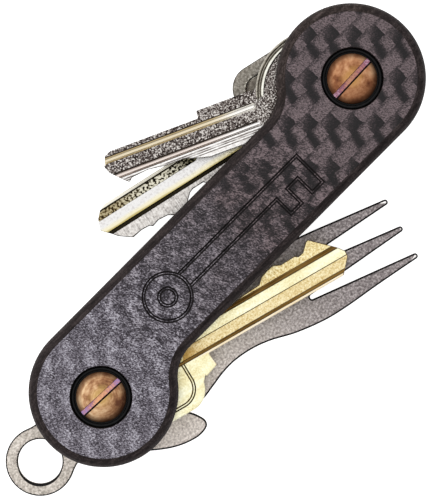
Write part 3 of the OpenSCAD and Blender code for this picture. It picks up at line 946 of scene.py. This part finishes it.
def cut(drop, grooves, x, y):
    """The deeper of a face's drop and its grooves."""
    return np.maximum.reduce([drop] + [g.drop(x, y) for g in grooves])


def off_boss(x, y):
    return np.hypot(x, y) > BOSS_R


def signed(x, y, loop):
    """Distance from a closed line, positive inside it."""
    return distance(x, y, loop) * np.where(inside(x, y, loop), 1, -1)


def front_key():
    bow, bow_r, neck = np.array([6.0, 0.0]), 10.55, 3.95
    edge = math.degrees(math.asin(neck / bow_r))
    tail = [(16.2, -4.2), (26.4, -4.2), (26.5, -2.9), (42.4, -2.9), (43.5, -2.4), (44.2, -0.7),
            (43.7, 0.5), (42.1, 2.2), (41.1, 3.1), (40.4, 2.5), (37.4, 2.2), (34.4, 2.6), (31.1, 2.6),
            (28.3, 3.5), (26.5, 3.95)]
    outline = arc(bow, bow_r, edge, 336, 100) + soften(tail, 0.3)
    grooves = [Groove(17.2, 46, -1.6, 1.15, 0.5, hollow=True),
               Groove(17.2, 46, 1.4, 0.95, 0.42, hollow=True)]
    under_groove = Groove(17.2, 46, 0, 1.3, 0.5)
    beads = ((0.0, 0.42), (0.5, 0.8), (0.88, 1.5))
    # Widths of the painted shade along the -y wall of each groove
    dark_w = (0.12, 0.22)

    def top(x, y, d):
        e = bow_r - np.hypot(x - bow[0], y)
        drop = np.full(len(x), 0.2)
        for a, b in beads:
            swell = np.abs(e - (a + b) / 2) / ((b - a) / 2)
            drop = np.where((swell < 1) & (d < 1.7), 0.16 * swell ** 2.4, drop)
        return cut(np.where(off_boss(x, y), drop, 0) * np.clip((16.9 - x) / 1.6, 0, 1), grooves, x, y)

    def bottom(x, y, d):
        r = np.hypot(x - bow[0], y)
        drop = np.where((x < 15) & (r < bow_r - 1.5) & off_boss(x, y), 0.2, 0)
        return np.maximum(drop, under_groove.drop(x, y))

    def paint(x, y, d):
        e = bow_r - np.hypot(x - bow[0], y)
        index = np.zeros(len(x), int)
        on_bow = (x < 16) & (d < 1.7)
        index[(e < 0.84) & on_bow] = 1
        index[(e > 0.84) & (e < 1.48) & on_bow] = 5
        # Painted shade (index 6): dark lines in the creases between the beads, along the top edge of the
        # flank and on the -y wall of each groove.
        index[((np.abs(e - 0.46) < 0.06) | (np.abs(e - 0.84) < 0.06)) & on_bow] = 6
        index[(y > 1.85) & (x > 16.6)] = 3
        index[(y > 1.85) & (y < 1.98) & (x > 20)] = 6
        index[grooves[0].holds(x, y)] = 2
        index[grooves[1].holds(x, y)] = 4
        for g, w in zip(grooves, dark_w):
            index[(x > 17.4) & (y > g.y - g.r - 0.06) & (y < g.y - g.r + w)] = 6
        return index

    rings = [e for a, b in beads for e in (a + 0.07, (a * 3 + b) / 4, (a + b) / 2, (a + b * 3) / 4, b)]
    lines = [(arc(bow, bow_r - e, 12, 348, 90), False) for e in rings + [0.5, 0.88, 1.42]]
    lines += [(circle((0, 0), BOSS_R, 48), True)]
    lines += groove_lines(grooves + [under_groove])
    lines += [row(17.4, 44.5, g.y - g.r + k) for g, w in zip(grooves, dark_w) for k in (-0.06, w)]
    lines += [row(16.6, 44.5, k) for k in (1.85, 1.98)]
    at = (FRONT_KEY_ANGLE, UPPER_X)
    mats = [cast_nickel("nickel_grain", *at, ((0.02, 0.015, 0.013), (0.11, 0.088, 0.08),
                                              (0.24, 0.215, 0.2), (0.62, 0.59, 0.555)), 4.2),
            milled("nickel_rim", *at, ((0.2, 0.18, 0.15), (0.42, 0.39, 0.33)), 0.3),
            milled("nickel_groove", *at, ((0.7, 0.68, 0.64), (0.86, 0.84, 0.8), (0.62, 0.54, 0.39)), 0.2,
                   (19.0, 26.0)),
            flank("nickel_flank", *at, ((0.5, 0.47, 0.45), (0.78, 0.76, 0.74), (0.9, 0.89, 0.87)),
                  ((2.36, 0.07), (2.7, 0.06), (3.1, 0.05)), False),
            milled("nickel_groove_two", *at, ((0.72, 0.68, 0.66), (0.88, 0.86, 0.84), (0.66, 0.58, 0.53)),
                   0.2, (20.0, 27.0)),
            milled("nickel_bead", *at, ((0.56, 0.54, 0.46), (0.8, 0.79, 0.72)), 0.25),
            dark_line("nickel_shade", (0.035, 0.025, 0.018))]
    swinging("front_nickel_key", "nickel", outline, top, bottom, lines, 0.12, mats, paint, at)


def rear_key():
    tail = [(18.2, -6.4), (19.6, -5.5), (24.5, -5.5), (24.6, -4.7), (46.4, -4.7), (47.7, -4.2),
            (48.8, -3.1), (49.5, -1.2), (48.2, 0.2), (47.4, 1.2), (45.4, 2.7), (43.5, 2.4), (42, 2.5),
            (41.5, 2.9), (40.2, 2.5), (38.4, 2.65), (37.1, 3.5), (35.1, 3.2), (33.1, 1.4),
            (32.4, 1.15), (30.3, 1.15), (28, 3.5), (24.6, 3.6), (24.5, 5.2), (19.6, 5.2), (18.2, 6.4)]
    bow = (arc((14.2, 7.5), 4, 0, 90, 12) + arc((3.2, 2.5), 9, 90, 180, 30)
           + arc((3.2, -2.5), 9, 180, 270, 30) + arc((14.2, -7.5), 4, 270, 360, 12))
    outline = bow + soften(tail, 0.3)
    panel = (arc((13.8, 7.1), 2.4, 0, 90, 8) + arc((3.2, 2.5), 7, 90, 180, 24)
             + arc((3.2, -2.5), 7, 180, 270, 24) + arc((13.8, -7.1), 2.4, 270, 360, 8))
    grooves = [Groove(29.6, 52, -3.3, 1.4, 0.5, 0.1), Groove(22, 52, 0.05, 0.72, 0.5, 0.16)]
    under_groove = Groove(22, 52, -1.4, 1.4, 0.5)

    def top(x, y, d):
        e = signed(x, y, panel)
        step = 0.2 * np.clip(e / 0.3, 0, 1)
        fall = 0.16 * np.clip(1 - d / 0.9, 0, 1) ** 1.5
        return cut(np.where(off_boss(x, y), step, 0) + np.where(x < 19, fall, 0), grooves, x, y)

    def bottom(x, y, d):
        drop = np.where(inside(x, y, panel) & off_boss(x, y), 0.2, 0)
        return np.maximum(drop, under_groove.drop(x, y))

    def paint(x, y, d):
        e = signed(x, y, panel)
        index = np.ones(len(x), int)
        index[x < 20] = 0
        index[(e > 0.3) & (x < 20)] = 5
        index[(np.abs(e - 0.05) < 0.16) & (x < 20)] = 6
        index[(y > 0.38) & (x > 20)] = 3
        index[(y < -4.2) & (x > 24)] = 6
        index[grooves[0].holds(x, y, -0.05)] = 2
        # Painted shade (index 4): the narrow middle groove, a line along the lower wall of the lower
        # groove, and the rims of the flank and the bow.
        index[grooves[1].holds(x, y)] = 4
        index[(y > -4.22) & (y < -3.95) & (x > 27)] = 4
        index[(d < 0.17) & (y > 0.5) & (x > 20)] = 4
        index[(d < 0.14) & (x < 20)] = 4
        return index

    rim = bow + [np.array([18.2, -6.4]), np.array([18.2, 6.4])]
    lines = groove_lines(grooves + [under_groove])
    lines += [row(24, 48, k) for k in (-4.2, -3.95)] + [(panel, True)]
    lines += [(inset(panel, k), True) for k in (0.3, 0.15, -0.2)]
    lines += [(inset(rim, k), True) for k in (0.45, 0.9)]
    lines += [(circle((0, 0), BOSS_R, 48), True)]
    at = (REAR_KEY_ANGLE, UPPER_X)
    mats = [stonewashed("rear_bow", *at, ((0.13, 0.11, 0.09), (0.24, 0.22, 0.185), (0.4, 0.37, 0.33)), 2.2),
            rear_face("rear_face", *at), rear_pits("rear_pits", *at),
            flank("rear_flank", *at, ((0.26, 0.24, 0.23), (0.56, 0.53, 0.5), (0.74, 0.72, 0.69)), (), True),
            dark_line("rear_shade", (0.022, 0.016, 0.006)),
            stonewashed("rear_panel", *at, ((0.12, 0.1, 0.08), (0.22, 0.195, 0.16), (0.36, 0.32, 0.27)),
                        2.2),
            milled("rear_bright", *at, ((0.46, 0.43, 0.35), (0.74, 0.71, 0.62)), 0.25)]
    swinging("rear_nickel_key", "nickel", outline, top, bottom, lines, 0.12, mats, paint, at)


def brass_key():
    tail = [(16.9, -6), (19.5, -5.1), (19.2, -2.75), (45.6, -2.75), (46.3, -2), (47.8, -0.3),
            (47.9, 0.7), (47, 1.9), (43.3, 5.5), (42.8, 5.3), (41.5, 4), (40.5, 3.8), (40, 4.2),
            (37.2, 4.1), (36.1, 4.7), (34.9, 4.45), (33.4, 4), (32.4, 3), (29, 2.8), (26.5, 2.3),
            (23, 5.45), (19.2, 5.45), (19.5, 6.3), (16.9, 6.3)]
    bow = (arc((12.3, 5.4), 3.8, 10, 90, 12) + arc((2.5, 1.2), 8, 90, 180, 28)
           + arc((2.5, -1.8), 8, 180, 270, 28) + arc((12.3, -6), 3.8, 270, 350, 12))
    outline = bow + soften(tail, 0.25)
    panel = (arc((11.3, 4.8), 3.2, 0, 90, 10) + arc((2.5, 1.2), 6.8, 90, 180, 26)
             + arc((2.5, -1.8), 6.8, 180, 270, 26) + arc((11.3, -5.2), 3.4, 270, 360, 12))
    grooves = [Groove(17, 50, 2.15, 0.85, 0.5, 0.1), Groove(11, 50, -2.05, 0.62, 0.5, 0.1),
               Groove(17, 50, 0.05, 0.14, 0.05, 0.06)]
    under_groove = Groove(17, 50, 0.7, 1.6, 0.5)

    def top(x, y, d):
        e = signed(x, y, panel)
        drop = 0.12 * np.clip(1 - np.minimum(np.abs(e), np.abs(e - 0.42)) / 0.12, 0, 1)
        drop = np.maximum(drop, 0.07 * np.clip((e - 0.4) / 0.1, 0, 1))
        return cut(np.where(off_boss(x, y), drop, 0), grooves, x, y)

    def bottom(x, y, d):
        drop = np.where(inside(x, y, panel) & off_boss(x, y), 0.1, 0)
        return np.maximum(drop, under_groove.drop(x, y))

    def paint(x, y, d):
        e = signed(x, y, panel)
        index = np.zeros(len(x), int)
        index[(y > -1.8) & (y < 0) & (x > 11)] = 4
        index[(y > 2.5) & (x > 17)] = 1
        # Painted shade (index 3): dark lines round the edges of the bow's panel, along the bitting edges
        # and in the fine middle groove.
        index[((np.abs(e) < 0.12) | (np.abs(e - 0.42) < 0.12)) & (x < 16) & (y < -1.8)] = 3
        index[(y < -2.4) & (x > 19)] = 5
        index[(d < 0.12) & (x > 19) & ((y > 0) | (x > 45.6))] = 3
        for g in grooves[:2]:
            index[g.holds(x, y)] = 2
        index[grooves[2].holds(x, y, 0.02)] = 3
        return index

    lines = groove_lines(grooves + [under_groove])
    lines += [(inset(panel, k), True) for k in (-0.12, 0, 0.12, 0.3, 0.42, 0.54)]
    lines += [(circle((0, 0), BOSS_R, 48), True)]
    at = (BRASS_KEY_ANGLE, LOWER_X)
    mats = [satin_brass("brass_flat", *at, ((0.7, 0.61, 0.33), (0.81, 0.77, 0.51), (0.86, 0.85, 0.67)),
                        0.45),
            satin_brass("brass_speckled", *at, ((0.44, 0.3, 0.1), (0.69, 0.57, 0.29), (0.8, 0.74, 0.49)),
                        0.8),
            milled("brass_groove", *at, ((0.075, 0.037, 0.008), (0.2, 0.115, 0.032)), 0.4),
            dark_line("brass_shade_line", (0.15, 0.09, 0.026), 0.5, 0.9),
            # brass_band darkens towards the post: painted shadow of the plate.
            satin_brass("brass_band", *at, ((0.5, 0.36, 0.14), (0.69, 0.57, 0.31), (0.78, 0.71, 0.48)),
                        0.75, ends=(21.0, 12.0)),
            milled("brass_spine", *at, ((0.72, 0.58, 0.36), (0.82, 0.74, 0.58)), 0.3)]
    swinging("brass_key", "key_brass", outline, top, bottom, lines, 0.1, mats, paint, at)


# Rounding of the tumbled tools' edges, in millimetres
TOOL_EDGE = 0.3


def edged(edge, tip=1e6, eye=(1e6, 0, 0)):
    """Painted shade along the edges and round one side of an eye, and a painted highlight on the tips
    beyond tip.
    """
    def paint(x, y, d):
        index = np.where(d < edge, 1, np.where(x > tip, 2, 0))
        index[np.hypot(x - eye[0], y - eye[1]) < eye[2]] = 1
        return index
    return paint


def fork():
    tip, tip_r, root, root_r, disc = 58.0, 0.5, 39.3, 0.4, 10.0
    tines, roots = (-5.4, -0.15, 5.1), (-2.9, 2.65)
    claw = [(-4, -9.2), (2.5, -12.4), (6.6, -13.9), (10.3, -14.25), (12.6, -13.55), (13.1, -12.35),
            (12.2, -10.7), (10.9, -9.3)]
    lower = [(10.9, -8.5), (12.4, -8.7), (14.5, -9), (17.2, -7.9), (19.8, -6.75), (22.6, -5.95),
             (26, -5.65), (29.5, -5.95), (34, -6.95), (39.3, -7.45), (44, -7.25), (50, -6.6),
             (tip, tines[0] - tip_r)]
    upper = [(tip, tines[2] + tip_r), (50, 6.4), (44, 7), (39.3, 7.2), (34, 6.7), (29.5, 5.7),
             (26, 5.4), (20, 5.8), (12, 8.2), (5.5, 9.6), (0, disc)]
    outline = (curve(claw, 8) + curve(lower, 6) + arc((tip, tines[0]), tip_r, -60, 80, 10)
               + arc((root, roots[0]), root_r, 280, 90, 10) + arc((tip, tines[1]), tip_r, -80, 80, 10)
               + arc((root, roots[1]), root_r, 270, 80, 10) + arc((tip, tines[2]), tip_r, -80, 60, 10)
               + curve(upper, 6) + arc((0, 0), disc, 96, 240, 40))
    at = (FORK_ANGLE, LOWER_X)
    # The fork's edges carry painted shade and the tips of its tines a painted highlight.
    mats = [stonewashed("titanium_fork", *at, (
                (0.11, 0.092, 0.092), (0.255, 0.225, 0.225), (0.52, 0.47, 0.465),
                (0.4, 0.35, 0.32), (0.64, 0.58, 0.53), (0.86, 0.8, 0.74)), 2.5, (8.0, 50.0)),
            dark_line("titanium_edge_shade", (0.004, 0.003, 0.003), 0.6, 0.0),
            milled("titanium_tip_highlight", *at, ((0.5, 0.47, 0.46), (0.9, 0.88, 0.86)), 0.3)]
    swinging("fork_opener", "grey_titanium", outline, level_drop, level_drop, [], TOOL_EDGE, mats,
             edged(0.31, 57.3), at, every_rim=True)


def ring_tab():
    reach, disc_r, ring_r, waist_r, hole_r = 15.8, 8.6, 5.95, 7.3, 3.8
    a, b = disc_r + waist_r, ring_r + waist_r
    lean = math.degrees(math.acos((reach ** 2 + a ** 2 - b ** 2) / (2 * reach * a)))
    rise = 180 - math.degrees(math.acos((reach ** 2 + b ** 2 - a ** 2) / (2 * reach * b)))
    outline = (arc((0, 0), disc_r, lean, 360 - lean, 80)
               + arc(a * turn(-lean), waist_r, 180 - lean, 180 - rise, 12)[1:]
               + arc((reach, 0), ring_r, -rise, rise, 60)[1:]
               + arc(a * turn(lean), waist_r, 180 + rise, 180 + lean, 12)[1:-1])
    # Painted shade: the crescent between the hole and this offset circle, dark on one side of the hole.
    eye = (reach + 0.3, 0.28, hole_r + 0.1)
    at = (RING_ANGLE, LOWER_X)
    mats = [stonewashed("titanium_tab", *at, ((0.36, 0.32, 0.28), (0.58, 0.53, 0.47), (0.8, 0.74, 0.68))),
            dark_line("titanium_tab_edge_shade", (0.004, 0.003, 0.003), 0.6, 0.0)]
    swinging("ring_tab", "grey_titanium", outline, level_drop, level_drop,
             [(circle(eye[:2], eye[2], 90), True)], TOOL_EDGE, mats, edged(0.24, eye=eye), at,
             [(reach, 0, hole_r)], every_rim=True)


# -------------------- camera, floor and light

VIEW_TURN = 51.76
VIEW_FOOT = (-2.79, 0.39)
VIEW_DISTANCE = 550.0
VIEW_HEIGHT = 83.58


def camera():
    data = bpy.data.cameras.new("camera")
    o = linked("camera", data)
    c, s = turn(VIEW_TURN)
    axes = Matrix(((c, s, 0), (-s, c, 0), (0, 0, 1)))
    o.matrix_world = Matrix.Translation((
        VIEW_FOOT[0] * MM, VIEW_FOOT[1] * MM, (FRONT_HIGH + VIEW_DISTANCE) * MM)) @ axes.to_4x4()
    data.sensor_width = 36.0
    data.lens = 36.0 * VIEW_DISTANCE / VIEW_HEIGHT
    data.clip_start, data.clip_end = 0.01, 20.0
    bpy.context.scene.camera = o


def floor():
    half, z = 4.0, -0.00005
    corners = [(half * a, half * b, z) for a, b in ((-1, -1), (1, -1), (1, 1), (-1, 1))]
    mesh = bpy.data.meshes.new("floor")
    mesh.from_pydata(corners, [], [(0, 1, 2, 3)])
    m, shader, here = material("floor_white")
    join(ramp(noise(here, 0.02, 2), [(0.3, (0.8,) * 3), (0.7, (0.82,) * 3)]), shader.inputs["Base Color"])
    for key, value in (("Roughness", 0.9), ("Specular IOR Level", 0.1), ("Emission Color", (1, 1, 1, 1)),
                       ("Emission Strength", 0.85)):
        shader.inputs[key].default_value = value
    mesh.materials.append(m)
    linked("floor", mesh)


def light():
    """A wide soft sky overhead that leans to +Y and falls off towards the horizon."""
    world = bpy.data.worlds.new("studio")
    bpy.context.scene.world = world
    world.use_nodes = True
    tree = world.node_tree
    back = tree.nodes["Background"]
    x, y, up = xyz(tree.nodes.new("ShaderNodeTexCoord").outputs["Generated"])
    sky = ramp(total(up, (x, 0.03), (y, 0.46)), [
        (0.0, (0.2,) * 3), (0.42, (0.26,) * 3), (0.66, (0.72,) * 3), (0.8, (1.0,) * 3), (1.0, (1.0,) * 3)])
    seen = tree.nodes.new("ShaderNodeLightPath").outputs["Is Camera Ray"]
    join(mix(seen, sky, (0.75, 0.75, 0.75)), back.inputs["Color"])
    back.inputs["Strength"].default_value = 1.35
    bpy.context.scene.view_settings.view_transform = "Standard"


camera()
floor()
light()
build_plates()
build_posts()
front_key()
rear_key()
brass_key()
fork()
ring_tab()

bpy.context.view_layer.update()
